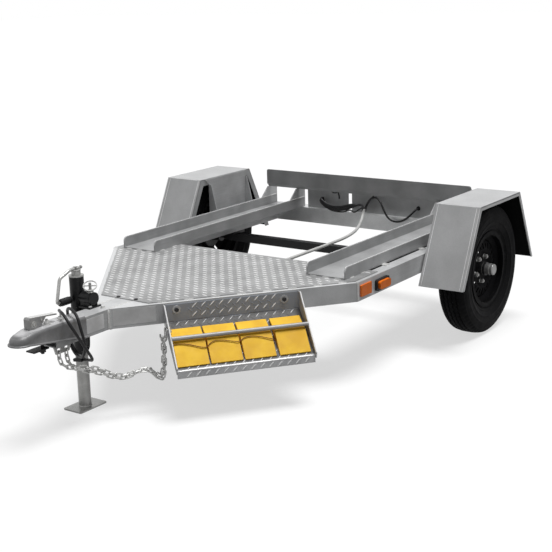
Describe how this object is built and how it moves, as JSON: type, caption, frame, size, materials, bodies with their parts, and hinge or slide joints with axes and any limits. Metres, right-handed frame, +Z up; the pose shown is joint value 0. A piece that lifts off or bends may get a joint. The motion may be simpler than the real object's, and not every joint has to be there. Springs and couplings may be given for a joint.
{
  "type": "portable toilet trailer",
  "caption": "Small single-axle aluminium trailer with two skid channels for one portable toilet, an A-frame tread-plate deck, chock rack, ball coupler and swivel jack.",
  "frame": {"origin": "on the ground, on the centreline, midway between the coupler's nose and the frame's rear face", "axes": "+X forward to the coupler, +Y to the trailer's left, +Z up"},
  "size_m": [2.429, 1.694, 0.6],
  "materials": {
    "mill_aluminium": "mill finish, brushed along the tube",
    "tread_plate": "bright tread plate",
    "sheet_aluminium": "satin mill finish",
    "bar_aluminium": "satin",
    "galvanised_steel": "dark painted",
    "zinc_steel": "zinc plated",
    "coupler_steel": "dull plated",
    "black_steel": "semi-gloss black",
    "tyre_rubber": "matt black rubber",
    "yellow_plastic": "matt yellow",
    "amber_lens": "amber lens",
    "red_lens": "red lens",
    "black_plastic": "matt black",
    "black_jacket": "soft black jacket",
    "plate_white": "blank white",
    "grey_conduit": "light grey",
    "brown_cord": "thin brown cord"
  },
  "bodies": {
    "frame": {"a_frame_tube_left": "mill_aluminium", "a_frame_tube_right": "mill_aluminium", "axle": "galvanised_steel", "axle_saddles": "galvanised_steel", "backstop_beam": "sheet_aluminium", "beam_gussets_left": "sheet_aluminium", "beam_gussets_right": "sheet_aluminium", "chain_anchor": "zinc_steel", "chain_hooks": "zinc_steel", "chock_lanyard": "brown_cord", "chock_rack": "tread_plate", "conduit_boot": "black_plastic", "coupler_body": "coupler_steel", "coupler_clamp": "black_steel", "coupler_lever": "zinc_steel", "deck_cross_member": "mill_aluminium", "deck_plate": "tread_plate", "fender_bracket_left": "sheet_aluminium", "fender_bracket_right": "sheet_aluminium", "fender_left": "sheet_aluminium", "fender_right": "sheet_aluminium", "jack_bracket": "black_steel", "jack_pull_pin": "zinc_steel", "lamp_plates": "sheet_aluminium", "lead_grommet": "black_plastic", "lead_plug": "black_plastic", "licence_plate": "plate_white", "marker_bases": "black_plastic", "marker_lenses": "amber_lens", "rack_bar": "bar_aluminium", "rack_sides": "sheet_aluminium", "rear_cross_member": "mill_aluminium", "safety_chain_left": "zinc_steel", "safety_chain_right": "zinc_steel", "side_rail_left": "mill_aluminium", "side_rail_right": "mill_aluminium", "side_reflectors": "amber_lens", "skid_channel_left": "sheet_aluminium", "skid_channel_right": "sheet_aluminium", "tail_lamps": "red_lens", "tail_loom_left": "black_jacket", "tail_loom_right": "black_jacket", "tongue_tube": "mill_aluminium", "trailer_lead": "black_jacket", "wheel_chocks": "yellow_plastic", "wiring_conduit": "grey_conduit"},
    "wheel_left": {"tyre_left": "tyre_rubber", "rim_left": "black_steel", "hub_left": "galvanised_steel", "hub_cap_left": "zinc_steel"},
    "wheel_right": {"tyre_right": "tyre_rubber", "rim_right": "black_steel", "hub_right": "galvanised_steel", "hub_cap_right": "zinc_steel"},
    "jack_outer": {"jack_tube": "black_steel", "jack_cap": "zinc_steel", "jack_crank": "zinc_steel", "jack_grip": "black_plastic"},
    "jack_inner": {"jack_leg": "zinc_steel", "jack_foot": "zinc_steel"}
  },
  "joints": [
    {"name": "wheel_left_spin", "type": "hinge", "parent": "frame", "child": "wheel_left", "pos_m": [-0.8165, 0.7445, 0.286], "axis": [0, 1, 0], "continuous": true},
    {"name": "wheel_right_spin", "type": "hinge", "parent": "frame", "child": "wheel_right", "pos_m": [-0.8165, -0.7445, 0.286], "axis": [0, 1, 0], "continuous": true},
    {"name": "jack_swivel", "type": "hinge", "parent": "frame", "child": "jack_outer", "pos_m": [0.7895, -0.104, 0.4316], "axis": [0, -1, 0], "range_deg": [0, 90]},
    {"name": "jack_extend", "type": "slide", "parent": "jack_outer", "child": "jack_inner", "axis": [0, 0, 1], "range_m": [0, 0.19]}
  ]
}
